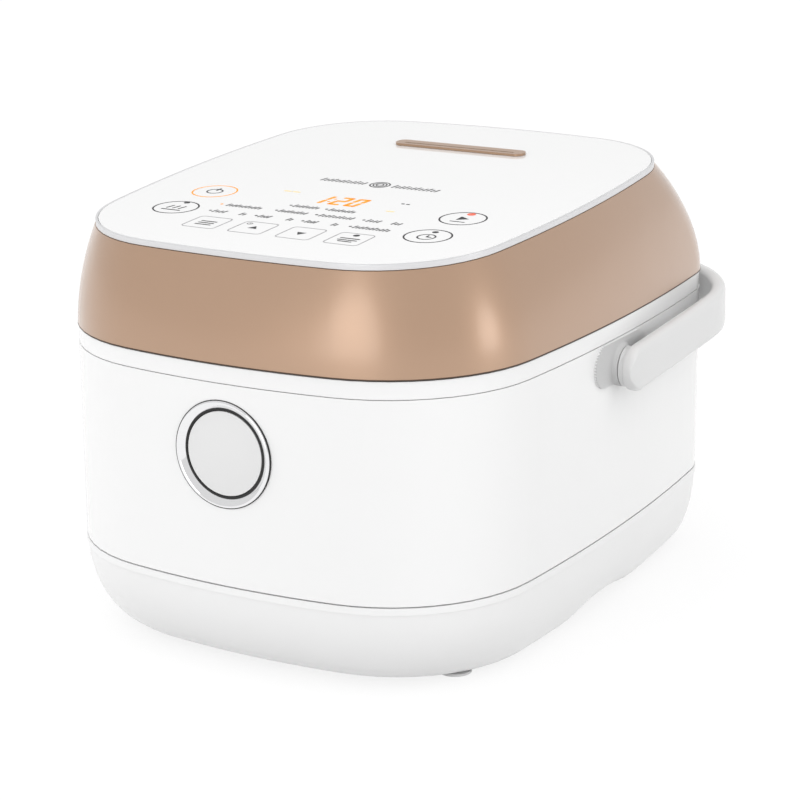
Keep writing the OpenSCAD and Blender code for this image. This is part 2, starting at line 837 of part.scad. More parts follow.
module latch_pin() {
    cheek_x = latch_w / 2 + 2;
    cheek_t = 4;
    cheek_w = 6;
    half = cheek_x + cheek_t + 1;
    color("dimgray") in_case() union() {
        along_x(-half, latch_y, latch_z) cylinder(r = latch_pin_r, h = 2 * half);
        for (side = [0, 1]) mirror([side, 0, 0])
            translate([cheek_x, latch_y - cheek_w / 2, latch_z - cheek_w / 2])
                cube([cheek_t, cheek_w, deck_z - deck_t - latch_z + cheek_w / 2 - 0.1]);
    }
}

module latch_spring() {
    color("gray") in_case() for (side = [0, 1]) mirror([side, 0, 0])
        along_x(latch_w / 2 + clear, latch_y, latch_z) tube(latch_pin_r + 1.4, latch_pin_r + 0.2, 1.4);
}

module latch_strike() {
    size = [36, 12, strike_t];
    color("silver") in_case() translate([-size.x / 2, strike_y, frame_z + frame_t]) difference() {
        cube(size);
        for (x = [5, size.x - 5]) translate([x, size.y / 2, -cut]) cylinder(r = 1.6, h = strike_t + 2 * cut);
    }
}

// ---- Hinge and carry handle ----

module hinge_pin() {
    half = hinge_half - 2;
    color("silver") in_case() along_x(-half, hinge_y, hinge_z) cylinder(r = hinge_pin_r, h = 2 * half);
}

arm_w = 8;
arm_x = lug_x - arm_w - 0.6;
spring_l = 12;
barrel_x = arm_x - spring_l - 2;

module hinge_springs() {
    color("dimgray") in_case() for (side = [0, 1]) mirror([side, 0, 0])
        along_x(arm_x - spring_l - 1, hinge_y, hinge_z) tube(knuckle_r - 0.4, hinge_pin_r + 0.1, spring_l);
}

pin_in = 3;

module handle_pins() {
    head_x = ear_back - 2.6;
    color("silver") in_case() for (side = [0, 1]) mirror([side, 0, 0]) union() {
        along_x(head_x, handle_y, handle_z) cylinder(r = handle_pin_r, h = arm_in + pin_in - head_x);
        along_x(head_x, handle_y, handle_z) cylinder(r = handle_pin_r + 1.5, h = 2.4);
    }
}

// The handle's plan line, moved in by an inset: slightly bowed arms, round corners and a bulged crossbar
function bail_line(inset) =
    let (a = arm_out - inset, b = handle_back - handle_y - inset,
         right = mirrored(quarter(a, b, bow_r - inset, arm_side_r - inset, bail_r - inset), a))
    concat(right, [[0, b]], [for (i = [len(right) - 1 : -1 : 0]) [-right[i].x, right[i].y]]);

// The handle's section as [inset, height] points: an upright bar with rounded edges
bar_section = [
    for (q = [0 : 3], i = [0 : 3])
        let (turn = 90 * q + 30 * i, x = q == 0 || q == 3 ? 1 : -1, z = q < 2 ? 1 : -1)
        [handle_t / 2 + x * (handle_t / 2 - handle_edge) + handle_edge * cos(turn),
         z * (handle_h / 2 - handle_edge) + handle_edge * sin(turn)]
];

// A section of the handle's rounded front end: turn runs from 0 at the pivot to 90 at the tip
function nose_ring(side, turn) =
    let (narrow = 0.5 * sin(turn) ^ 6)
    [for (p = bar_section)
        [side * (arm_out - p.x - narrow * (handle_t / 2 - p.x)), -handle_h / 2 * sin(turn), p.y * cos(turn)]];

nose_turns = [15, 30, 45, 58, 70, 80, 87];

module carry_handle() {
    lines = [for (p = bar_section) bail_line(p.x)];
    bar = [for (k = [0 : len(lines[0]) - 1])
        [for (j = [0 : len(bar_section) - 1]) [lines[j][k].x, lines[j][k].y, bar_section[j].y]]];
    right_nose = [for (i = [len(nose_turns) - 1 : -1 : 0]) nose_ring(1, nose_turns[i])];
    left_nose = [for (turn = nose_turns) nose_ring(-1, turn)];
    color("white") in_case() translate([0, handle_y, handle_z]) rotate([handle_rise, 0, 0]) difference() {
        union() {
            skin(concat(right_nose, bar, left_nose));
            for (side = [0, 1]) mirror([side, 0, 0])
                along_x(hub_in, 0, 0) cylinder(r = stub_r, h = handle_t / 2);
        }
        for (side = [0, 1]) mirror([side, 0, 0]) along_x(hub_in - cut, 0, 0)
            cylinder(r = handle_pin_r + fit, h = arm_in + pin_in + 0.4 - hub_in + cut);
    }
}

// ---- Lid ----

// A level of the lid band: t runs from 0 at its lower edge to 1 at its top
function band_ring(t, inset) =
    let (lean = t ^ band_curve, radii = less(mix(case_radii, panel_radii, lean), inset),
         q = outline(half_w - band_lean * lean - inset, half_d - band_lean_front * lean - inset,
                     half_d - band_lean_rear * lean - inset, radii))
    [for (p = q) [p.x, p.y, lid_z + t * (band_h + rise * p.y)]];

ledge_w = 9;

module lid_band() {
    low = wall_t / band_h;
    outer = [for (i = [0 : band_steps]) band_ring(i / band_steps, 0)];
    inner = [for (i = [band_steps : -1 : 0]) band_ring((1 - low) * i / band_steps, wall_t)];
    ledge = [for (p = panel_line(ledge_w)) [p.x, p.y, band_top + rise * p.y]];
    ledge_low = [for (p = panel_line(ledge_w)) [p.x, p.y, lid_z + (1 - low) * (band_h + rise * p.y)]];
    color("rosybrown") in_case() skin(concat(outer, [ledge, ledge_low], inner), loop = true);
}

module panel_rim() {
    color("silver") on_panel() difference() {
        panel_plate(clear, -panel_t + 0.1, panel_t - 0.1);
        panel_plate(rim_w, -panel_t - cut, panel_t + 2 * cut);
    }
}

module steam_plan(grow, h) {
    round_plate(steam_l + 2 * grow, steam_w + 2 * grow, steam_w / 2 - 0.5 + grow, h);
}

module top_panel() {
    color("white") on_panel() difference() {
        panel_plate(rim_w + 0.1, -panel_t + 0.1, panel_t - 0.1);
        translate([0, steam_y, -panel_t - cut]) steam_plan(clear, panel_t + 2 * cut);
    }
}

film_y = -68;
film_w = 176;
film_d = 96;
film_t = 0.3;
film_r = 10;

module touch_film() {
    color("dimgray") on_panel() translate([0, film_y, -panel_t - film_t])
        round_plate(film_w, film_d, film_r, film_t);
}

control_w = 120;
control_d = 80;
control_r = 4;
post_in = 8;

board_drop = 9;
display_x = 1;
display_y = -45;

module control_board() {
    color("darkgreen") on_panel() translate([0, film_y, -panel_t - board_drop]) union() {
        round_plate(control_w, control_d, control_r, board_t);
        for (x = [-1, 1], y = [-1, 1])
            translate([x * (control_w / 2 - post_in), y * (control_d / 2 - post_in), 0])
                cylinder(r = 3, h = board_drop - film_t - 0.1);
    }
}

display_w = 38;
display_d = 20;

module display_module() {
    low = board_t + 0.1 - panel_t - board_drop;
    color("black") on_panel() translate([display_x - display_w / 2, display_y - display_d / 2, low])
        cube([display_w, display_d, board_drop - film_t - 0.2 - board_t]);
}

module steam_cap() {
    top = 1.3;
    lip_t = 1.2;
    slit_w = 0.9;
    slit_l = steam_l - 9;
    color("rosybrown") on_panel() translate([0, steam_y, 0]) difference() {
        union() {
            translate([0, 0, -steam_depth]) steam_plan(0, steam_depth + 0.2);
            translate([0, 0, 0.1]) steam_plan(1, lip_t);
        }
        translate([0, 0, -steam_depth + 2]) steam_plan(-1.6, steam_depth - 2);
        translate([-slit_l / 2, -steam_w / 2 + 1.7, -cut]) cube([slit_l, slit_w, top + 2 * cut]);
        for (i = [-4 : 4]) translate([i * 7, 0, -steam_depth - cut]) cylinder(r = 1.6, h = 2 * top + 2 * cut);
    }
}

cup_side = 4;
cup_deep = 10;
cup_r = 6;
cup_t = 1.5;
drain_x = 20;
drain_y = steam_y - 4;
drain_r = 4;

module steam_chamber() {
    low = frame_z + frame_t + clear;
    high = band_top - 0.5 + rise * steam_y;
    length = steam_l + 2 * cup_side;
    width = steam_w + 2 * cup_deep;
    color("whitesmoke") in_case() difference() {
        translate([0, steam_y, low]) round_plate(length, width, cup_r, high - low - 0.6);
        translate([0, steam_y, low + 2])
            round_plate(length - 2 * cup_t, width - 2 * cup_t, cup_r - cup_t, high);
        drain_places() translate([0, 0, low - cut]) cylinder(r = drain_r, h = 2 + 2 * cut);
    }
}

module drain_places() {
    for (x = [-drain_x, drain_x]) translate([x, drain_y, 0]) children();
}

frame_hole_r = 62;

// A knuckle on the hinge axis, from x on, with the web that joins it to the lid's frame
module lid_knuckle(x, length) {
    difference() {
        union() {
            along_x(x, hinge_y, hinge_z) cylinder(r = knuckle_r, h = length);
            translate([x, hinge_y - knuckle_r, hinge_z])
                cube([length, knuckle_r + 1, frame_z + frame_t - hinge_z]);
        }
        along_x(x - cut, hinge_y, hinge_z) cylinder(r = hinge_pin_r + fit, h = length + 2 * cut);
    }
}

module lid_frame() {
    frame_inset = wall_t + 1.2;
    low = frame_z - cut;
    deep = frame_t + 2 * cut;
    color("white") in_case() union() {
        difference() {
            case_plate(frame_inset, frame_z, frame_t);
            translate([0, pot_y, low]) cylinder(r = frame_hole_r, h = deep);
            latch_slot(low, deep);
            lid_screw_places() translate([0, 0, low]) cylinder(r = screw_r + 0.1, h = deep);
            drain_places() translate([0, 0, low]) cylinder(r = drain_r, h = deep);
        }
        for (side = [0, 1]) mirror([side, 0, 0]) lid_knuckle(arm_x, arm_w);
        lid_knuckle(-barrel_x, 2 * barrel_x);
    }
}

lid_screw_in = 17;
lid_screw_front = 78;
lid_screw_rear = 40;

module lid_screw_places() {
    for (x = [-1, 1], y = [-lid_screw_front, lid_screw_rear])
        translate([x * (half_w - lid_screw_in), y, 0]) children();
}

module lid_screws() {
    head_r = 2.8;
    length = 9;
    color("silver") in_case() lid_screw_places() {
        translate([0, 0, frame_z - head_h - 0.1]) cylinder(r = head_r, h = head_h);
        translate([0, 0, frame_z - 0.2]) cylinder(r = screw_r, h = length);
    }
}

gasket_lip = 4;
gasket_t = 1.2;
gasket_in = 1;
sheet_t = 1.2;
rib_in = 8;
rib_w = 4;
hub_r = 30;
vent_ring = 18;
vent_r = 3;

module inner_lid() {
    base = seat_z + flange_t + clear + gasket_t + 0.1;
    high = frame_z - base;
    color("silver") in_case() translate([0, pot_y, base]) difference() {
        union() {
            cylinder(r = pot_r, h = sheet_t);
            tube(pot_r - rib_in, pot_r - rib_in - rib_w, high - 0.2);
            cylinder(r = hub_r, h = high + 1);
        }
        for (i = [0 : 5]) rotate([0, 0, 60 * i])
            translate([vent_ring, 0, -cut]) cylinder(r = vent_r, h = high + 3 * cut);
    }
}

module lid_gasket() {
    base = seat_z + flange_t + clear;
    color("lightgray") in_case() translate([0, pot_y, base]) union() {
        tube(flange_r - gasket_in, pot_r - gasket_lip, gasket_t);
        tube(flange_r - gasket_in, pot_r + 0.2, frame_z - base - 0.2);
    }
}

// ---- The assembly ----

base_shell();
bottom_plate();
foot_pads();
base_screws();
body_shell();
upper_frame();
pot_well();
inner_pot();
coil_former();
induction_coil();
ferrite_bars();
pot_sensor();
sensor_spring();
fan_housing();
fan_impeller();
board_carrier();
power_board();
power_transistors();
heat_sink();
filter_capacitor();
line_choke();
power_inlet();
inlet_pins();
button_ring();
button_housing();
open_button();
button_spring();
latch_lever();
latch_pin();
latch_spring();
hinge_pin();
hinge_springs();
handle_pins();
carry_handle();
lid_band();
panel_rim();
top_panel();
touch_film();
control_board();
display_module();
steam_cap();
steam_chamber();
lid_frame();
inner_lid();
lid_gasket();
latch_strike();
lid_screws();
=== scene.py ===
from math import cos, pi, radians, sin, tan

import bmesh
import bpy
from mathutils import Matrix, Vector


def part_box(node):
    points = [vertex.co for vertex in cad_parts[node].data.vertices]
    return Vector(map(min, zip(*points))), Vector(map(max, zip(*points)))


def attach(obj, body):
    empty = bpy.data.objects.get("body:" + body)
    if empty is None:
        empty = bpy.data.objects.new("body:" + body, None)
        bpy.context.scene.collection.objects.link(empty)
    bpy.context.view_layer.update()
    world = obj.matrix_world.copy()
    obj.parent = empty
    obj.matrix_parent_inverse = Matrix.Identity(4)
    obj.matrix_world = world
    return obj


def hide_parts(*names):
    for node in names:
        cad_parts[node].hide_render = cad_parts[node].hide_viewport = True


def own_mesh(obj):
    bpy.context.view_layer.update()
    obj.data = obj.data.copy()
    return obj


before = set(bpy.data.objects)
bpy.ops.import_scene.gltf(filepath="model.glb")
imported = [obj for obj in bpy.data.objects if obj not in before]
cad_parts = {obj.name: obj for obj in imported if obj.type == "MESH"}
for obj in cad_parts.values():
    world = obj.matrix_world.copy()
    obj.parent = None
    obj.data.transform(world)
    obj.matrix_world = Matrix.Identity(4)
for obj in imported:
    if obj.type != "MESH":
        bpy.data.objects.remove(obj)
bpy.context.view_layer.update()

# ---- Studio ----
# A white sweep, lit softly by the world from the front, the right and behind on the left.
# The camera and all gloss see plain white, and two of the four lamps show in gloss as soft spots.
mm = 0.001
scene = bpy.context.scene
scene.view_settings.view_transform = "Standard"


def node(tree, kind, x=0, y=0, **values):
    n = tree.nodes.new(kind)
    n.location = (x, y)
    for name, value in values.items():
        setattr(n, name, value)
    return n


def background_rays(tree, path, x, y):
    """A socket that is 1 for the rays that show the background: camera, transmission and glossy."""
    shown = path.outputs["Is Camera Ray"]
    for kind in ("Is Transmission Ray", "Is Glossy Ray"):
        more = node(tree, "ShaderNodeMath", x, y, operation="MAXIMUM")
        tree.links.new(shown, more.inputs[0])
        tree.links.new(path.outputs[kind], more.inputs[1])
        shown = more.outputs[0]
    return shown


world = bpy.data.worlds.new("studio")
scene.world = world
world.use_nodes = True
sky = world.node_tree
sky.nodes.clear()
place = node(sky, "ShaderNodeTexCoord", -1400)
level = node(sky, "ShaderNodeVectorMath", -1200, operation="MULTIPLY")
level.inputs[1].default_value = (1, 1, 0)
sky.links.new(place.outputs["Generated"], level.inputs[0])
flat_way = node(sky, "ShaderNodeVectorMath", -1000, operation="NORMALIZE")
sky.links.new(level.outputs[0], flat_way.inputs[0])
gap_level = 0.25
glow = None
for azimuth, half, soft, strength in (
    (-86, 18, 35, 1.3),
    (12, 9, 37, 1.85),
    (170, 38, 22, 0.86),
    (190, 12, 20, 0.75),
):
    towards = node(sky, "ShaderNodeVectorMath", -800, operation="DOT_PRODUCT")
    towards.inputs[1].default_value = (cos(radians(azimuth)), sin(radians(azimuth)), 0)
    sky.links.new(flat_way.outputs[0], towards.inputs[0])
    angle = node(sky, "ShaderNodeMath", -640, operation="ARCCOSINE")
    sky.links.new(towards.outputs["Value"], angle.inputs[0])
    edge = node(sky, "ShaderNodeMapRange", -480, interpolation_type="SMOOTHERSTEP")
    edge.inputs["From Min"].default_value = radians(half)
    edge.inputs["From Max"].default_value = radians(half + soft)
    edge.inputs["To Min"].default_value = strength
    edge.inputs["To Max"].default_value = 0
    sky.links.new(angle.outputs[0], edge.inputs["Value"])
    if glow is None:
        glow = edge.outputs[0]
    else:
        both = node(sky, "ShaderNodeMath", -300, operation="ADD")
        sky.links.new(glow, both.inputs[0])
        sky.links.new(edge.outputs[0], both.inputs[1])
        glow = both.outputs[0]
split = node(sky, "ShaderNodeSeparateXYZ", -800, -300)
sky.links.new(place.outputs["Generated"], split.inputs[0])
overhead = node(sky, "ShaderNodeMapRange", -480, -300, interpolation_type="SMOOTHERSTEP")
overhead.inputs["From Min"].default_value = 0.45
overhead.inputs["From Max"].default_value = 0.8
overhead.inputs["To Min"].default_value = gap_level
overhead.inputs["To Max"].default_value = 0.92
sky.links.new(split.outputs["Z"], overhead.inputs["Value"])
total = node(sky, "ShaderNodeMath", -120, operation="ADD")
sky.links.new(glow, total.inputs[0])
sky.links.new(overhead.outputs[0], total.inputs[1])
below = node(sky, "ShaderNodeMapRange", -480, -560, interpolation_type="SMOOTHERSTEP")
below.inputs["From Min"].default_value = -0.85
below.inputs["From Max"].default_value = -0.45
below.inputs["To Min"].default_value = 0.45
sky.links.new(split.outputs["Z"], below.inputs["Value"])
dimmed = node(sky, "ShaderNodeMath", -60, -300, operation="MULTIPLY")
sky.links.new(total.outputs[0], dimmed.inputs[0])
sky.links.new(below.outputs[0], dimmed.inputs[1])
boxes = node(sky, "ShaderNodeBackground", 60, 100)
sky.links.new(dimmed.outputs[0], boxes.inputs["Strength"])
plain = node(sky, "ShaderNodeBackground", 60, -60)
plain.inputs["Strength"].default_value = 1.0
path = node(sky, "ShaderNodeLightPath", -120, 300)
choose = node(sky, "ShaderNodeMixShader", 260)
sky.links.new(background_rays(sky, path, 60, 300), choose.inputs[0])
sky.links.new(boxes.outputs[0], choose.inputs[1])
sky.links.new(plain.outputs[0], choose.inputs[2])
sky.links.new(choose.outputs[0], node(sky, "ShaderNodeOutputWorld", 440).inputs["Surface"])

bm = bmesh.new()
bmesh.ops.create_circle(bm, cap_ends=True, segments=96, radius=14)
mesh = bpy.data.meshes.new("floor")
bm.to_mesh(mesh)
bm.free()
floor = bpy.data.objects.new("floor", mesh)
scene.collection.objects.link(floor)
sweep = bpy.data.materials.new("white_sweep")
sweep.use_nodes = True
tree = sweep.node_tree
tree.nodes.clear()
paint = node(tree, "ShaderNodeBsdfDiffuse", -200, 100)
paint.inputs["Color"].default_value = (0.6, 0.6, 0.6, 1)
bright = node(tree, "ShaderNodeEmission", -200, -60)
bright.inputs["Strength"].default_value = 1.15
path = node(tree, "ShaderNodeLightPath", -600, 200)
fade = node(tree, "ShaderNodeMath", -400, 200, operation="MULTIPLY")
fade.inputs[1].default_value = 0.72
tree.links.new(background_rays(tree, path, -500, 200), fade.inputs[0])
lit = node(tree, "ShaderNodeMixShader", 0)
tree.links.new(fade.outputs[0], lit.inputs[0])
tree.links.new(paint.outputs[0], lit.inputs[1])
tree.links.new(bright.outputs[0], lit.inputs[2])
tree.links.new(lit.outputs[0], node(tree, "ShaderNodeOutputMaterial", 400).inputs["Surface"])
floor.data.materials.append(sweep)


def lamp(name, azimuth, elevation, distance, size, power, aim, mirrored=False):
    data = bpy.data.lights.new(name, "AREA")
    data.shape = "DISK"
    data.size = size
    data.energy = power
    light = bpy.data.objects.new(name, data)
    a, e = radians(azimuth), radians(elevation)
    light.location = aim + distance * Vector((cos(a) * cos(e), sin(a) * cos(e), sin(e)))
    light.rotation_euler = (light.location - aim).to_track_quat("Z", "Y").to_euler()
    light.visible_glossy = mirrored
    scene.collection.objects.link(light)


middle = Vector((0, -0.014, 0.1))
lamp("front_box", -100, 38, 1.6, 1.1, 0.8, middle)
lamp("right_box", 5, 26, 1.8, 1.0, 0.6, middle)
lamp("front_strip", -86, 4, 1.9, 1.2, 6.5, middle, True)
lamp("corner_strip", 9, 4, 1.9, 0.55, 2.0, middle, True)

frame_px, focal_px, shift_px, camera_mm = 800, 2469.03, 7.689, 1252.565
azimuth, elevation, roll = radians(30.3053), radians(16.1018), radians(-0.4893)
target = Vector((0, -13.65, 96.394)) * mm
back = Vector((sin(azimuth) * cos(elevation), -cos(azimuth) * cos(elevation), sin(elevation)))
right = Vector((cos(azimuth), sin(azimuth), 0))
up = back.cross(right)
across = right * cos(roll) + up * sin(roll)
upright = up * cos(roll) - right * sin(roll)
camera_data = bpy.data.cameras.new("camera")
camera_data.sensor_width = 36
camera_data.lens = focal_px / frame_px * 36
camera_data.shift_x = shift_px / frame_px
camera = bpy.data.objects.new("camera", camera_data)
place = Matrix((across, upright, back)).transposed().to_4x4()
place.translation = target + back * camera_mm * mm
camera.matrix_world = place
scene.collection.objects.link(camera)
scene.camera = camera

# ---- Foot pads, bottom plate and its screws ----
# Four round rubber pads glued under the base, and the moulded grey plate that closes it.
# The plate has a row of air slots under the fan, and four screws hold it to the coil carrier.


def group(name, inputs, outputs):
    tree = bpy.data.node_groups.new(name, "ShaderNodeTree")
    for label, kind, value in inputs:
        socket = tree.interface.new_socket(label, in_out="INPUT", socket_type=kind)
        socket.default_value = value
    for label, kind in outputs:
        tree.interface.new_socket(label, in_out="OUTPUT", socket_type=kind)
    return tree, node(tree, "NodeGroupInput", -800), node(tree, "NodeGroupOutput", 600)


# Moulded plastic and rubber: a faint drift of tone, a fine grain and a change of gloss over the surface
moulding, given, made = group(
    "moulding",
    (
        ("Colour", "NodeSocketColor", (0.8, 0.8, 0.8, 1)),
        ("Shade", "NodeSocketColor", (0.7, 0.7, 0.7, 1)),
        ("Grain Scale", "NodeSocketFloat", 1500.0),
        ("Gloss Low", "NodeSocketFloat", 0.2),
        ("Gloss High", "NodeSocketFloat", 0.3),
    ),
    (("Colour", "NodeSocketColor"), ("Roughness", "NodeSocketFloat"), ("Grain", "NodeSocketFloat")),
)
spot = node(moulding, "ShaderNodeTexCoord", -800, -300)
drift = node(moulding, "ShaderNodeTexNoise", -500, 200)
drift.inputs["Scale"].default_value = 9
drift.inputs["Detail"].default_value = 3
moulding.links.new(spot.outputs["Object"], drift.inputs["Vector"])
tone = node(moulding, "ShaderNodeMix", -100, 200, data_type="RGBA")
moulding.links.new(drift.outputs["Fac"], tone.inputs["Factor"])
moulding.links.new(given.outputs["Colour"], tone.inputs["A"])
moulding.links.new(given.outputs["Shade"], tone.inputs["B"])
moulding.links.new(tone.outputs["Result"], made.inputs["Colour"])
smear = node(moulding, "ShaderNodeTexNoise", -500, -100)
smear.inputs["Scale"].default_value = 40
smear.inputs["Detail"].default_value = 4
moulding.links.new(spot.outputs["Object"], smear.inputs["Vector"])
gloss = node(moulding, "ShaderNodeMapRange", -100, -100)
gloss.inputs["From Min"].default_value = 0.3
gloss.inputs["From Max"].default_value = 0.7
moulding.links.new(smear.outputs["Fac"], gloss.inputs["Value"])
moulding.links.new(given.outputs["Gloss Low"], gloss.inputs["To Min"])
moulding.links.new(given.outputs["Gloss High"], gloss.inputs["To Max"])
moulding.links.new(gloss.outputs[0], made.inputs["Roughness"])
grain = node(moulding, "ShaderNodeTexNoise", -500, -400)
grain.inputs["Detail"].default_value = 2
moulding.links.new(spot.outputs["Object"], grain.inputs["Vector"])
moulding.links.new(given.outputs["Grain Scale"], grain.inputs["Scale"])
moulding.links.new(grain.outputs["Fac"], made.inputs["Grain"])


def colour(r, g, b):
    return (r, g, b, 1)


def finish(name, effect, settings, bump=0.0, depth=0.00002, **shader):
    """A material whose shader takes colour, gloss and grain from an effect group."""
    material = bpy.data.materials.new(name)
    material.use_nodes = True
    tree = material.node_tree
    surface = tree.nodes["Principled BSDF"]
    skin = node(tree, "ShaderNodeGroup", -500, 100)
    skin.node_tree = effect
    for label, value in settings.items():
        skin.inputs[label].default_value = value
    tree.links.new(skin.outputs["Colour"], surface.inputs["Base Color"])
    tree.links.new(skin.outputs["Roughness"], surface.inputs["Roughness"])
    if bump:
        relief = node(tree, "ShaderNodeBump", -250, -200)
        relief.inputs["Strength"].default_value = bump
        relief.inputs["Distance"].default_value = depth
        tree.links.new(skin.outputs["Grain"], relief.inputs["Height"])
        tree.links.new(relief.outputs["Normal"], surface.inputs["Normal"])
    for label, value in shader.items():
        surface.inputs[label.replace("_", " ")].default_value = value
    return material


def plastic(name, light, dark, low, high, grain=1500.0, bump=0.15, **shader):
    settings = {"Colour": light, "Shade": dark, "Grain Scale": grain, "Gloss Low": low, "Gloss High": high}
    return finish(name, moulding, settings, bump=bump, **shader)


def corners(name):
    """The low and the high corner of a CAD node's box."""
    return (Vector(corner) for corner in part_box(name))


def shade_smooth(bm, crease):
    """Smooth faces, with sharp edges where two of them meet at more than the crease angle."""
    for face in bm.faces:
        face.smooth = True
    for e in bm.edges:
        if len(e.link_faces) == 2:
            e.smooth = e.calc_face_angle() < radians(crease)


def dressed(name, body, material, edge=0.0, crease=30, segments=2):
    """A merged and smoothed copy of a CAD node that stands for it, with softened edges."""
    bm = bmesh.new()
    bm.from_mesh(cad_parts[name].data)
    bmesh.ops.remove_doubles(bm, verts=bm.verts, dist=0.002 * mm)
    bmesh.ops.dissolve_degenerate(bm, edges=bm.edges, dist=0.002 * mm)
    for face in bm.faces:
        face.material_index = 0
    shade_smooth(bm, crease)
    mesh = bpy.data.meshes.new(name + "_skin")
    bm.to_mesh(mesh)
    bm.free()
    mesh.materials.append(material)
    piece = bpy.data.objects.new(name + "_skin", mesh)
    scene.collection.objects.link(piece)
    if edge:
        soften = piece.modifiers.new("edges", "BEVEL")
        soften.width = edge
        soften.segments = segments
        soften.limit_method = "ANGLE"
        soften.angle_limit = radians(crease)
        soften.harden_normals = True
    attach(piece, body)
    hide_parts(name)
    return piece


rubber = plastic("rubber_grey", colour(0.74, 0.74, 0.74), colour(0.68, 0.68, 0.68), 0.6, 0.8, 900, 0.5)
grey_plate = plastic("grey_plate", colour(0.5, 0.5, 0.5), colour(0.42, 0.42, 0.43), 0.45, 0.6, 1200, 0.5)
dressed("foot_pads", "case", rubber, 0.4 * mm)
dressed("bottom_plate", "case", grey_plate, 0.25 * mm)

# Machined and drawn metal: fine streaks along one axis and a little change of tone
streaks, given, made = group(
    "streaks",
    (
        ("Colour", "NodeSocketColor", (0.8, 0.8, 0.8, 1)),
        ("Shade", "NodeSocketColor", (0.7, 0.7, 0.7, 1)),
        ("Stretch", "NodeSocketVector", (60.0, 60.0, 3000.0)),
        ("Gloss Low", "NodeSocketFloat", 0.2),
        ("Gloss High", "NodeSocketFloat", 0.3),
    ),
    (("Colour", "NodeSocketColor"), ("Roughness", "NodeSocketFloat"), ("Grain", "NodeSocketFloat")),
)
spot = node(streaks, "ShaderNodeTexCoord", -800, -300)
drawn = node(streaks, "ShaderNodeVectorMath", -600, -100, operation="MULTIPLY")
streaks.links.new(spot.outputs["Object"], drawn.inputs[0])
streaks.links.new(given.outputs["Stretch"], drawn.inputs[1])
lines = node(streaks, "ShaderNodeTexNoise", -400, -100)
lines.inputs["Scale"].default_value = 1
lines.inputs["Detail"].default_value = 4
streaks.links.new(drawn.outputs[0], lines.inputs["Vector"])
tone = node(streaks, "ShaderNodeMix", -100, 200, data_type="RGBA")
streaks.links.new(lines.outputs["Fac"], tone.inputs["Factor"])
streaks.links.new(given.outputs["Colour"], tone.inputs["A"])
streaks.links.new(given.outputs["Shade"], tone.inputs["B"])
streaks.links.new(tone.outputs["Result"], made.inputs["Colour"])
gloss = node(streaks, "ShaderNodeMapRange", -100, -100)
gloss.inputs["From Min"].default_value = 0.3
gloss.inputs["From Max"].default_value = 0.7
streaks.links.new(lines.outputs["Fac"], gloss.inputs["Value"])
streaks.links.new(given.outputs["Gloss Low"], gloss.inputs["To Min"])
streaks.links.new(given.outputs["Gloss High"], gloss.inputs["To Max"])
streaks.links.new(gloss.outputs[0], made.inputs["Roughness"])
streaks.links.new(lines.outputs["Fac"], made.inputs["Grain"])


def metal(name, light, dark, low, high, stretch=(60.0, 60.0, 3000.0), bump=0.1, **shader):
    settings = {"Colour": light, "Shade": dark, "Stretch": stretch, "Gloss Low": low, "Gloss High": high}
    shader.setdefault("Metallic", 1.0)
    return finish(name, streaks, settings, bump=bump, depth=0.00001, **shader)


steel = metal("bright_steel", colour(0.62, 0.62, 0.63), colour(0.5, 0.5, 0.52), 0.2, 0.34)
dressed("base_screws", "case", steel, 0.15 * mm)

# ---- Base ----
# One deep moulding in satin white: a rounded tub with an upright bead at its rim.
# Its lower edge rises between the front and rear feet, where fingers lift the cooker.
satin_white = plastic("satin_white", colour(0.83, 0.83, 0.83), colour(0.81, 0.81, 0.81), 0.3, 0.38, 2200, 0.08,
                      Coat_Weight=0.8, Coat_Roughness=0.25, Coat_IOR=1.5)
dressed("base_shell", "case", satin_white, 0.0, 35)

# ---- Case wall ----
# A glossy white sleeve, moulded in one piece with the two ears that carry the handle.
# It stands on the base's bead and clips up under the collar.
gloss_white = plastic("gloss_white", colour(0.84, 0.84, 0.84), colour(0.825, 0.825, 0.825), 0.2, 0.26, 700, 0.015,
                      Coat_Weight=1.0, Coat_Roughness=0.12, Coat_IOR=1.45)
# The ears' outer faces (beyond the base's side) get a darker, matte grey: painted shade for the shade the handle
# arms cast on them.
ear_painted_shade = plastic("ear_painted_shade", colour(0.56, 0.56, 0.56), colour(0.54, 0.54, 0.54), 0.38, 0.46, 1800, 0.08)
wall = dressed("body_shell", "case", gloss_white, 0.35 * mm, 28)
wall.data.materials.append(ear_painted_shade)
case_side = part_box("base_shell")[1][0]
for face in wall.data.polygons:
    if abs(face.center.x) > case_side + 0.3 * mm:
        face.material_index = 1

# ---- Collar ----
# The glossy white ring under the lid, moulded with the deck that the pot hangs in.
# Its rear is cut away for the hinge, and two lugs there carry the hinge pin.
dressed("upper_frame", "case", gloss_white, 0.3 * mm, 35)

# ---- Pot and its well ----
# A spun aluminium pot, brushed outside and coated dark inside, with pressed level marks on its wall.
# It hangs by its rolled flange in a pale heat shield.
shield = plastic("heat_shield", colour(0.5, 0.5, 0.49), colour(0.44, 0.44, 0.44), 0.5, 0.6, 900, 0.3)
dressed("pot_well", "case", shield, 0.0, 30)
pot_outside = metal("pot_outside", colour(0.46, 0.45, 0.44), colour(0.36, 0.35, 0.35), 0.3, 0.42)
pot_coating = plastic("pot_coating", colour(0.035, 0.034, 0.034), colour(0.06, 0.058, 0.056), 0.32, 0.48, 2600, 0.35,
                      Coat_Weight=0.3, Coat_Roughness=0.3)
pot = dressed("inner_pot", "case", pot_outside, 0.25 * mm, 40)
pot.data.materials.append(pot_coating)
pot_low, pot_high = corners("inner_pot")
pot_centre = (pot_low + pot_high) / 2
pot_outside_r, pot_wall = 91 * mm, 2.2 * mm
pot_inside_r = pot_outside_r - pot_wall
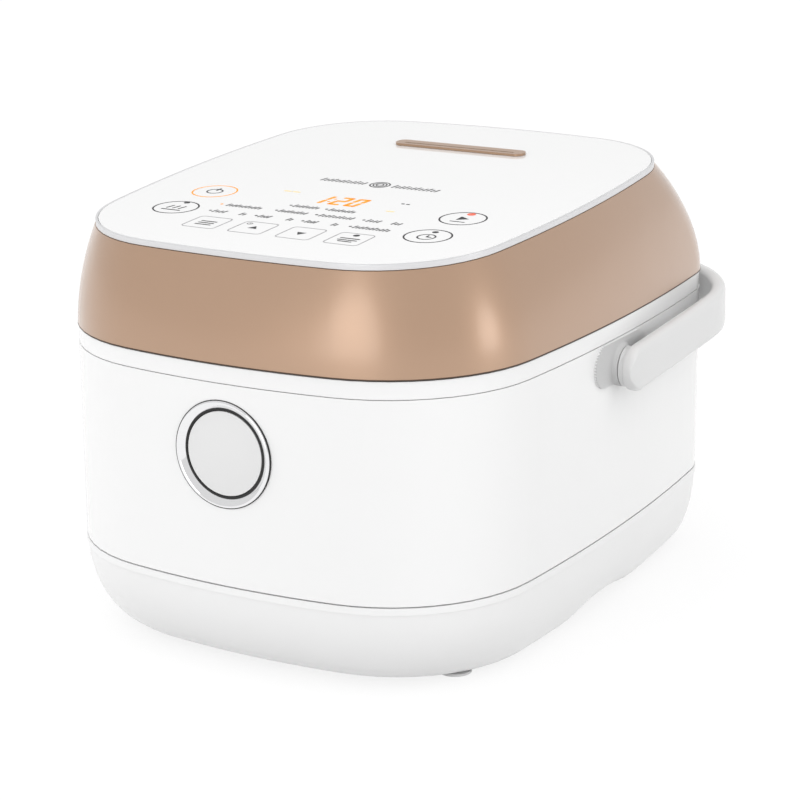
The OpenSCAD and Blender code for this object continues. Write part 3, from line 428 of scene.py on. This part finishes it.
for face in pot.data.polygons:
    spoke = Vector((face.center.x - pot_centre.x, face.center.y - pot_centre.y, 0))
    inward = face.normal.x * spoke.x + face.normal.y * spoke.y < -0.2 * spoke.length
    if spoke.length < pot_inside_r + 0.2 * mm and (inward or face.normal.z > 0.3):
        face.material_index = 1


def piece_from(bm, name, body, material, smooth=35):
    """Closes a bmesh into a finished piece that rides on a body."""
    bmesh.ops.recalc_face_normals(bm, faces=bm.faces)
    shade_smooth(bm, smooth)
    mesh = bpy.data.meshes.new(name)
    bm.to_mesh(mesh)
    bm.free()
    mesh.materials.append(material)
    piece = bpy.data.objects.new(name, mesh)
    scene.collection.objects.link(piece)
    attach(piece, body)
    return piece


def block(bm, size, place, corner, segments=2):
    """A small block with rounded edges, laid into a bmesh."""
    before = set(bm.edges)
    shape = place @ Matrix.Diagonal((*size, 1))
    bmesh.ops.create_cube(bm, size=1, matrix=shape)
    edges = [e for e in bm.edges if e not in before]
    bmesh.ops.bevel(bm, geom=edges, offset=corner, affect="EDGES", segments=segments, profile=0.5, material=-1)


marks_paint = plastic("mark_grey", colour(0.42, 0.42, 0.42), colour(0.36, 0.36, 0.36), 0.4, 0.5)
bm = bmesh.new()
for side in (-1, 1):
    for k in range(7):
        turn = radians(90 + 42 * side)
        wide = 14 if k % 2 == 0 else 7
        upright_mark = Matrix.Translation((pot_centre.x, pot_centre.y, pot_low.z + (30 + 10 * k) * mm))
        place = upright_mark @ Matrix.Rotation(turn, 4, "Z") @ Matrix.Translation((pot_inside_r - 0.1 * mm, 0, 0))
        block(bm, (0.5 * mm, wide * mm, 0.8 * mm), place, 0.12 * mm)
piece_from(bm, "level_marks", "case", marks_paint)

# ---- Heater ----
# Two flat windings of stranded copper wire lie on a moulded disc, with ferrite bars under it.
# The sprung sensor in the middle presses on the floor of the pot.
ivory = plastic("ivory_plastic", colour(0.62, 0.58, 0.45), colour(0.56, 0.52, 0.4), 0.45, 0.6)
ferrite = plastic("ferrite", colour(0.03, 0.03, 0.03), colour(0.05, 0.05, 0.05), 0.5, 0.7)
aluminium = metal("aluminium", colour(0.7, 0.7, 0.71), colour(0.6, 0.6, 0.61), 0.3, 0.42)
copper = metal("copper_wire", colour(0.72, 0.34, 0.18), colour(0.55, 0.24, 0.12), 0.29, 0.4,
               stretch=(900.0, 900.0, 900.0), bump=0.4)
dressed("coil_former", "case", ivory, 0.3 * mm)
dressed("ferrite_bars", "case", ferrite, 0.4 * mm)
dressed("pot_sensor", "sensor", aluminium, 0.6 * mm)
coil_low, coil_high = corners("induction_coil")
coil_middle = (coil_low + coil_high) / 2
strand_r = (coil_high.z - coil_low.z) / 2
coil_outside = (coil_high.x - coil_low.x) / 2
coil_inside, between_bands = 24 * mm, 8 * mm
band_w = (coil_outside - (coil_inside + between_bands)) / 2
bm = bmesh.new()
for start in (coil_inside, coil_outside - band_w):
    turns = int(band_w / (2 * strand_r))
    for k in range(turns):
        reach = start + (k + 0.5) * band_w / turns
        place = Matrix.Translation(coil_middle + Vector((reach, 0, 0))) @ Matrix.Rotation(pi / 2, 4, "X")
        made = bmesh.ops.create_circle(bm, segments=10, radius=min(strand_r, band_w / turns / 2), matrix=place)
        edges = {e for v in made["verts"] for e in v.link_edges}
        bmesh.ops.spin(bm, geom=list(made["verts"]) + list(edges), cent=coil_middle, axis=(0, 0, 1),
                       angle=2 * pi, steps=96, use_merge=True)
windings = piece_from(bm, "windings", "case", copper)
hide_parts("induction_coil")


def spring(name, body, centre, axis, radius, wire, length, turns, material, stands_for):
    """A helical wire spring about an axis: a wire section swept round and along it."""
    axis = Vector(axis)
    aside = axis.orthogonal().normalized()
    bm = bmesh.new()
    face_on = axis.cross(aside)
    place = face_on.to_track_quat("Z", "Y").to_matrix().to_4x4()
    place.translation = Vector(centre) + aside * radius
    made = bmesh.ops.create_circle(bm, cap_ends=True, segments=8, radius=wire, matrix=place)
    edges = {e for v in made["verts"] for e in v.link_edges}
    faces = {f for v in made["verts"] for f in v.link_faces}
    steps = int(turns * 20)
    bmesh.ops.spin(bm, geom=list(made["verts"]) + list(edges) + list(faces), cent=centre, axis=axis,
                   dvec=axis * (length / steps), angle=2 * pi * turns, steps=steps)
    piece = piece_from(bm, name, body, material)
    if stands_for:
        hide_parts(stands_for)
    return piece


sensor_low, sensor_high = corners("sensor_spring")
sensor_foot = ((sensor_low.x + sensor_high.x) / 2, (sensor_low.y + sensor_high.y) / 2, sensor_low.z + 0.5 * mm)
under_sensor = spring("sensor_coil_spring", "case", sensor_foot, (0, 0, 1), 7.4 * mm, 0.5 * mm,
                      sensor_high.z - sensor_low.z - 1 * mm, 2.5, steel, "sensor_spring")
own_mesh(under_sensor)

# ---- Fan, power board and inlet ----
# An axial fan over the slots in the floor blows past a green board with a finned sink and its parts.
# The mains inlet is a dark moulding let into the rear wall, with three brass pins.
dark = plastic("dark_plastic", colour(0.02, 0.02, 0.021), colour(0.03, 0.03, 0.03), 0.35, 0.5)
green = plastic("board_green", colour(0.02, 0.12, 0.05), colour(0.015, 0.09, 0.04), 0.3, 0.45)
yellow = plastic("capacitor_yellow", colour(0.7, 0.45, 0.08), colour(0.6, 0.38, 0.06), 0.3, 0.4)
brass = metal("brass", colour(0.72, 0.52, 0.22), colour(0.62, 0.44, 0.18), 0.29, 0.38)
for name, body, material, slot in (
    ("fan_housing", "case", dark, "dark_plastic"), ("fan_impeller", "fan", dark, "dark_plastic"),
    ("board_carrier", "case", ivory, "ivory_plastic"), ("power_board", "case", green, "board_green"),
    ("power_transistors", "case", dark, "part_black"), ("heat_sink", "case", aluminium, "aluminium"),
    ("filter_capacitor", "case", yellow, "capacitor_yellow"), ("line_choke", "case", copper, "copper"),
    ("power_inlet", "case", dark, "dark_plastic"), ("inlet_pins", "case", brass, "brass"),
):
    dressed(name, body, material, 0.25 * mm)

# ---- Button and its ring ----
# A half-round chrome ring pressed into the front of the wall, and a slightly domed satin button in it.
# A narrow dark gap is left round the button, which slides on a stem in its guide and springs back.
chrome = metal("chrome", colour(0.88, 0.88, 0.89), colour(0.82, 0.82, 0.83), 0.05, 0.1, bump=0.0)
button_white = plastic("button_white", colour(0.73, 0.73, 0.73), colour(0.71, 0.71, 0.71), 0.28, 0.36,
                       Coat_Weight=0.5, Coat_Roughness=0.15)
gap_shade_black = plastic("gap_shade_black", colour(0.006, 0.006, 0.006), colour(0.01, 0.01, 0.01), 0.5, 0.6, Coat_Weight=0.0)
ring_low, ring_high = corners("button_ring")
ring_centre = Vector(((ring_low.x + ring_high.x) / 2, ring_low.y, (ring_low.z + ring_high.z) / 2))
ring_outside = (ring_high.x - ring_low.x) / 2
ring_depth = ring_high.y - ring_low.y
bm = bmesh.new()
section = []
for inset, depth in ((0, 5), (0, 1.0), (0.12, 0.5), (0.45, 0.14), (0.9, 0), (1.35, 0.08), (1.8, 0.34), (2.6, 0.95),
                     (3.3, 1.5), (3.85, 2.0), (4.15, 2.5), (4.2, 5)):
    depth = min(depth * mm, ring_depth)
    section.append(bm.verts.new(ring_centre + Vector((ring_outside - inset * mm, depth, 0))))
section.append(section[0])
for near, far in zip(section, section[1:]):
    bm.edges.new((near, far))
bmesh.ops.spin(bm, geom=list(bm.verts) + list(bm.edges), cent=ring_centre, axis=(0, 1, 0), angle=2 * pi,
               steps=128, use_merge=True)
ring = piece_from(bm, "chrome_ring", "case", chrome, 50)
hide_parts("button_ring")
# Two thin black rings sit behind the gaps, one round the chrome ring's outer edge and one round the button: painted
# shade that makes these gaps read dark.
gap_shade_thickness = 1.5 * mm
for name, outside, inside, front in (("ring_gap_shade", 0.25, -0.3, 0.6), ("button_gap_shade", -4.0, -5.12, 2.25)):
    bm = bmesh.new()
    place = Matrix.Translation(ring_centre + Vector((0, front * mm, 0))) @ Matrix.Rotation(pi / 2, 4, "X")
    for edge_at in (outside, inside):
        bmesh.ops.create_circle(bm, segments=128, radius=ring_outside + edge_at * mm, matrix=place)
    bmesh.ops.bridge_loops(bm, edges=bm.edges)
    bmesh.ops.solidify(bm, geom=list(bm.faces), thickness=gap_shade_thickness)
    gap_shade = piece_from(bm, name, "case", gap_shade_black, 40)
    deepest = max(v.co.y for v in gap_shade.data.vertices)
    shift = ring_centre.y + front * mm + gap_shade_thickness - deepest
    for v in gap_shade.data.vertices:
        v.co.y += shift
dressed("open_button", "button", button_white, 0.5 * mm, 30, 3)
dressed("button_housing", "case", dark, 0.3 * mm)
guide_low, guide_high = corners("button_spring")
behind_button = spring("button_return_spring", "case", (ring_centre.x, guide_low.y + 0.5 * mm, ring_centre.z),
                       (0, 1, 0), (guide_high.x - guide_low.x) / 2 - 0.6 * mm, 0.45 * mm,
                       guide_high.y - guide_low.y - 1 * mm, 2.5, steel, "button_spring")
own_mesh(behind_button)

# ---- Latch ----
# A moulded lever on a steel pin: the button's stem pushes its foot, and its nose frees the strike.
# Two small torsion springs on the pin turn it back, and the strike is a plate screwed to the lid.
for name, body, material, slot in (
    ("latch_lever", "latch", ivory, "ivory_plastic"), ("latch_pin", "case", steel, "steel"),
    ("latch_strike", "lid", steel, "steel"),
):
    dressed(name, body, material, 0.25 * mm)
latch_low, latch_high = corners("latch_spring")
latch_axis = (latch_low + latch_high) / 2
for side, place in (("left", latch_low.x + 0.35 * mm), ("right", latch_high.x - 1.05 * mm)):
    spring("latch_torsion_spring_" + side, "case", (place, latch_axis.y, latch_axis.z), (1, 0, 0),
           (latch_high.z - latch_low.z) / 2 - 0.35 * mm, 0.3 * mm, 0.7 * mm, 1.5, steel,
           "latch_spring" if side == "left" else None)

# ---- Hinge ----
# A polished steel pin through the collar's lugs and the lid's knuckles.
# A torsion spring beside each knuckle lifts the lid when the latch lets go.
dressed("hinge_pin", "case", steel, 0.4 * mm)
hinge_low, hinge_high = corners("hinge_springs")
hinge_axis = (hinge_low + hinge_high) / 2
for side in (-1, 1):
    start = hinge_high.x - 11.5 * mm if side > 0 else hinge_low.x + 0.5 * mm
    spring("hinge_torsion_spring_" + ("left" if side < 0 else "right"), "case", (start, hinge_axis.y, hinge_axis.z),
           (1, 0, 0), 3 * mm, 0.55 * mm, 11 * mm, 8, steel, "hinge_springs" if side < 0 else None)

# ---- Carry handle ----
# One white moulding: two arms and a bowed crossbar with full, soft edges.
# It turns on steel pins through the ears and rests behind the case.
handle_white = plastic("handle_white", colour(0.69, 0.69, 0.69), colour(0.67, 0.67, 0.67), 0.29, 0.36, 2200, 0.06,
                       Coat_Weight=0.6, Coat_Roughness=0.2)
handle = dressed("carry_handle", "handle", handle_white, 0.0, 60)
handle.modifiers.new("even_shading", "WEIGHTED_NORMAL").keep_sharp = True
dressed("handle_pins", "case", steel, 0.3 * mm)

# ---- Lid band ----
# The coloured shell of the lid, moulded and painted in a satin rose gold metallic under a clear coat.
# Its lower edge and its upper lip are rounded, and a thin dark brown strip over its lowest 0.5 mm is painted shade
# for the gap under the band.
gold = plastic("rose_gold", colour(0.46, 0.295, 0.195), colour(0.45, 0.288, 0.19), 0.34, 0.38, 5200, 0.12,
               Metallic=0.6, Coat_Weight=1.0, Coat_Roughness=0.2, Coat_IOR=1.45)
dressed("lid_band", "lid", gold, 0.0, 32)
# Painted shade: a dark brown copy of the band's lowest 0.5 mm, pushed out a little, darkens the gap line under the
# band.
lip_painted_shade = plastic("lip_painted_shade", colour(0.06, 0.035, 0.02), colour(0.075, 0.045, 0.026), 0.45, 0.55)
lip_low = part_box("lid_band")[0][2]
bm = bmesh.new()
bm.from_mesh(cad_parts["lid_band"].data)
bmesh.ops.remove_doubles(bm, verts=bm.verts, dist=0.002 * mm)
bmesh.ops.bisect_plane(bm, geom=list(bm.verts) + list(bm.edges) + list(bm.faces), clear_outer=True,
                       plane_co=(0, 0, lip_low + 0.5 * mm), plane_no=(0, 0, 1))
bmesh.ops.recalc_face_normals(bm, faces=bm.faces)
for v in bm.verts:
    v.co += v.normal * 0.04 * mm
lip = piece_from(bm, "lid_lip_shade_strip", "lid", lip_painted_shade, 40)

# ---- Top panel and its rim ----
# A flat white touch panel with a polished edge, framed by a thin pale metal rim.
# The sensing film, the control board and the display's block sit on its underside.
panel_white = plastic("panel_white", colour(0.85, 0.85, 0.85), colour(0.84, 0.84, 0.84), 0.1, 0.14, 700, 0.0,
                      Coat_Weight=1.0, Coat_Roughness=0.06)
rim_silver = metal("rim_silver", colour(0.74, 0.74, 0.75), colour(0.68, 0.68, 0.69), 0.28, 0.36, bump=0.0,
                   Metallic=0.6)
dressed("panel_rim", "lid", rim_silver, 0.3 * mm, 30)
dressed("top_panel", "lid", panel_white, 0.3 * mm, 30)
for name, material, slot in (
    ("touch_film", dark, "film_dark"), ("control_board", green, "board_green"),
    ("display_module", dark, "part_black"),
):
    dressed(name, "lid", material, 0.1 * mm)

# ---- Signs printed on the panel ----
# Thin screen print in dark grey: rings and squares for the touch keys, with plain signs in them.
# The time, the key that is on and a few lamps shine through the panel in amber, and one lamp in red.
panel_place = (Matrix.Translation((0, -13.65 * mm, 206.5 * mm)) @ Matrix.Rotation(radians(3.2), 4, "X")
               @ Matrix.Translation((0, 0, 3 * mm)))


def new_faces(bm, before):
    return [f for f in bm.faces if f not in before]


def hollow(bm, faces, line):
    bmesh.ops.inset_individual(bm, faces=faces, thickness=line * mm, use_even_offset=True)
    bmesh.ops.delete(bm, geom=faces, context="FACES")


def disc(bm, x, y, r, line=0.0, steps=48):
    before = set(bm.faces)
    bmesh.ops.create_circle(bm, cap_ends=True, segments=steps, radius=r * mm,
                            matrix=Matrix.Translation((x * mm, y * mm, 0)))
    if line:
        hollow(bm, new_faces(bm, before), line)


def plate(bm, x, y, w, h, corner=0.0, line=0.0, turn=0.0):
    before = set(bm.faces)
    place = (Matrix.Translation((x * mm, y * mm, 0)) @ Matrix.Rotation(radians(turn), 4, "Z")
             @ Matrix.Diagonal((w * mm, h * mm, 1, 1)))
    made = bmesh.ops.create_grid(bm, x_segments=1, y_segments=1, size=0.5, matrix=place)
    if corner:
        bmesh.ops.bevel(bm, geom=made["verts"], offset=corner * mm, affect="VERTICES", segments=4, profile=0.5,
                        material=-1)
    if line:
        hollow(bm, new_faces(bm, before), line)


def dashes(bm, left, right, y, count, thick=1.1):
    """A row of short rounded strokes."""
    pitch = (right - left) / count
    for k in range(count):
        plate(bm, left + pitch * (k + 0.5), y, pitch - 0.7, thick, thick * 0.45)


def ticks(bm, left, right, y, tall=4.4, pitch=1.8):
    """A fine row of slanted ticks, where a menu entry stands."""
    count = max(2, round((right - left) / pitch))
    for k in range(count):
        high = tall * (1, 0.72, 0.86)[k % 3]
        plate(bm, left + (right - left) * (k + 0.5) / count, y - (tall - high) / 2, 0.95, high, 0.35, turn=-12)


def printed(bm, name, material, thick=0.05):
    """Gives flat signs their thickness and lays them on the panel."""
    made = bmesh.ops.extrude_face_region(bm, geom=list(bm.faces), use_keep_orig=True)
    verts = [v for v in made["geom"] if isinstance(v, bmesh.types.BMVert)]
    bmesh.ops.translate(bm, verts=verts, vec=(0, 0, thick * mm))
    bmesh.ops.transform(bm, matrix=panel_place, verts=bm.verts)
    piece = piece_from(bm, name, "lid", material, 30)
    return piece


sign_grey = plastic("sign_grey", colour(0.035, 0.035, 0.038), colour(0.05, 0.05, 0.053), 0.5, 0.6, 3000, 0.2,
                    Specular_IOR_Level=0.3)
line_grey = plastic("line_grey", colour(0.2, 0.2, 0.21), colour(0.26, 0.26, 0.27), 0.45, 0.55, 3000, 0.2)
sign_amber = plastic("sign_amber", colour(0.92, 0.33, 0.008), colour(0.88, 0.3, 0.006), 0.45, 0.55, 3000, 0.1,
                     Emission_Color=colour(1.0, 0.36, 0.01), Emission_Strength=0.12, Specular_IOR_Level=0.2)
sign_faint = plastic("sign_faint", colour(0.88, 0.72, 0.35), colour(0.86, 0.68, 0.32), 0.35, 0.45, 3000, 0.1)
sign_red = plastic("sign_red", colour(0.85, 0.12, 0.05), colour(0.8, 0.1, 0.04), 0.35, 0.45, 3000, 0.1)

digit_w, digit_h, stroke = 6.6, 14.5, 2.1
amber = bmesh.new()
for left, lit in ((-14.6, "bc"), (-4.2, "abged"), (4.6, "abcdef")):
    centre = left + digit_w / 2
    half = digit_h / 2
    for name, x, y, upright_bar in (
        ("a", centre, half - stroke / 2, False), ("g", centre, 0, False), ("d", centre, stroke / 2 - half, False),
        ("f", left + stroke / 2, half / 2, True), ("b", left + digit_w - stroke / 2, half / 2, True),
        ("e", left + stroke / 2, -half / 2, True), ("c", left + digit_w - stroke / 2, -half / 2, True),
    ):
        if name in lit:
            w, h = (stroke, half - 0.9) if upright_bar else (digit_w - 0.9, stroke)
            plate(amber, x, y, w, h, 0.55)
for y in (-2.6, 2.6):
    disc(amber, -6.1, y, 0.8, steps=20)
lean = Matrix.Identity(4)
lean[0][1] = tan(radians(8))
bmesh.ops.transform(amber, matrix=Matrix.Translation((0, -45.15 * mm, 0)) @ lean, verts=amber.verts)
disc(amber, -69.7, -51.6, 11.5, 0.8, 72)
disc(amber, -52.3, -71.4, 0.8, steps=20)
printed(amber, "lit_signs", sign_amber)
faint = bmesh.new()
dashes(faint, -38.6, -28.6, -37.5, 2, 1.6)
dashes(faint, 28, 33.4, -52.9, 1, 1.4)
printed(faint, "faint_signs", sign_faint)
red = bmesh.new()
disc(red, 69.1, -43.3, 2.1, steps=28)
printed(red, "lamp_sign", sign_red, 0.09)

lines = bmesh.new()
for x in (-39.4, -13.7, 12.5, 38.3):
    plate(lines, x, -103, 18.3, 19.3, 2.5, 0.5)
printed(lines, "key_squares", line_grey)

signs = bmesh.new()
for x, y in ((69.1, -51.6), (-69.7, -85.0), (69.1, -85.0)):
    disc(signs, x, y, 11.5, 0.85, 72)
for x, y in ((-69.7, -75.7), (69.0, -77.7), (38.4, -96.7)):
    disc(signs, x, y, 1.6, steps=28)
for x, turn in ((-13.6, 0), (12.2, pi)):
    bmesh.ops.create_circle(signs, cap_ends=True, segments=3, radius=2.8 * mm,
                            matrix=Matrix.Translation((x * mm, -103 * mm, 0)) @ Matrix.Rotation(turn, 4, "Z"))
disc(signs, -19.2, -97.2, 1.5, 0.35, 24)
plate(signs, -19.2, -96.8, 0.35, 1.0)
for y in (-101.2, -104.0, -106.8):
    plate(signs, -39.4, y, 9.0, 1.1, 0.5)
for y, w in ((-102.2, 10.5), (-105.0, 10.5), (-107.4, 7.5)):
    plate(signs, 38.3, y, w, 1.1, 0.5)
disc(signs, -69.7, -51.6, 4.3, 0.8, 40)
plate(signs, -69.7, -48.0, 1.0, 4.6, 0.4)
for k in (-1, 0, 1):
    plate(signs, -69.7 + 3.4 * k, -84.6, 1.0, 5.6, 0.45, turn=-14)
plate(signs, -69.7, -89.6, 11, 1.1, 0.5)
bmesh.ops.create_circle(signs, cap_ends=True, segments=3, radius=3.6 * mm,
                        matrix=Matrix.Translation((68.6 * mm, -51.6 * mm, 0)) @ Matrix.Rotation(-pi / 2, 4, "Z"))
plate(signs, 69.1, -57.4, 8, 0.9, 0.4)
disc(signs, 69.1, -86.4, 4.6, 0.8, 40)
plate(signs, 69.1, -85.1, 0.9, 2.9, 0.4)
plate(signs, 70.3, -86.5, 2.9, 0.9, 0.4)
for r in (2.2, 3.8, 5.4):
    disc(signs, 0, -10, r, 0.75, 40)
for side in (-1, 1):
    ends = sorted((side * 7.4, side * 33.4))
    ticks(signs, ends[0], ends[1], -10, 5.6, 2.2)
dashes(signs, 28, 33.4, -38.3, 2, 1.3)
for y, groups in (
    (-60.7, ((-20.0, -3.6), (0.0, 16.4))),
    (-71.4, ((-51.1, -29.3), (-21.4, -3.6), (1.0, 21.9), (26.9, 36.5), (40.5, 47.9))),
    (-83.6, ((-51.1, -41.4), (-35.7, -30.0), (-25.0, -16.4), (-9.3, -3.9), (1.0, 9.3), (15.3, 20.7),
             (26.9, 48.6))),
):
    for left, right in groups:
        if right - left > 8 and (left, y) != (-51.1, -71.4):
            disc(signs, left + 0.4, y, 0.8, steps=18)
        ticks(signs, left + 2.0, right, y)
printed(signs, "key_signs", sign_grey)

# ---- Steam cap and its chamber ----
# The lift-out steam cap shows only its long chamfered lip, painted as the band, with a thin slit in it.
# It stands in a pale moulded cup that drains back through the lid's frame.
bar_gold = plastic("bar_gold", colour(0.42, 0.27, 0.175), colour(0.38, 0.24, 0.155), 0.3, 0.38, 5200, 0.1,
                   Metallic=0.5, Coat_Weight=0.35, Coat_Roughness=0.2)
dressed("steam_cap", "steam_vent", bar_gold, 0.45 * mm, 30, 2)
dressed("steam_chamber", "lid", ivory, 0.3 * mm)

# ---- Inside of the lid ----
# A white frame closes the lid from below, held by four screws.
# It carries the polished inner lid with its steam holes, inside a grey silicone seal.
inner_white = plastic("inner_white", colour(0.8, 0.8, 0.79), colour(0.77, 0.77, 0.76), 0.35, 0.45)
silicone = plastic("silicone", colour(0.55, 0.55, 0.55), colour(0.5, 0.5, 0.5), 0.45, 0.55)
dressed("lid_frame", "lid", inner_white, 0.3 * mm, 30)
dressed("inner_lid", "lid", aluminium, 0.3 * mm, 30)
dressed("lid_gasket", "lid", silicone, 0.3 * mm, 30)
dressed("lid_screws", "lid", steel, 0.2 * mm, 30)
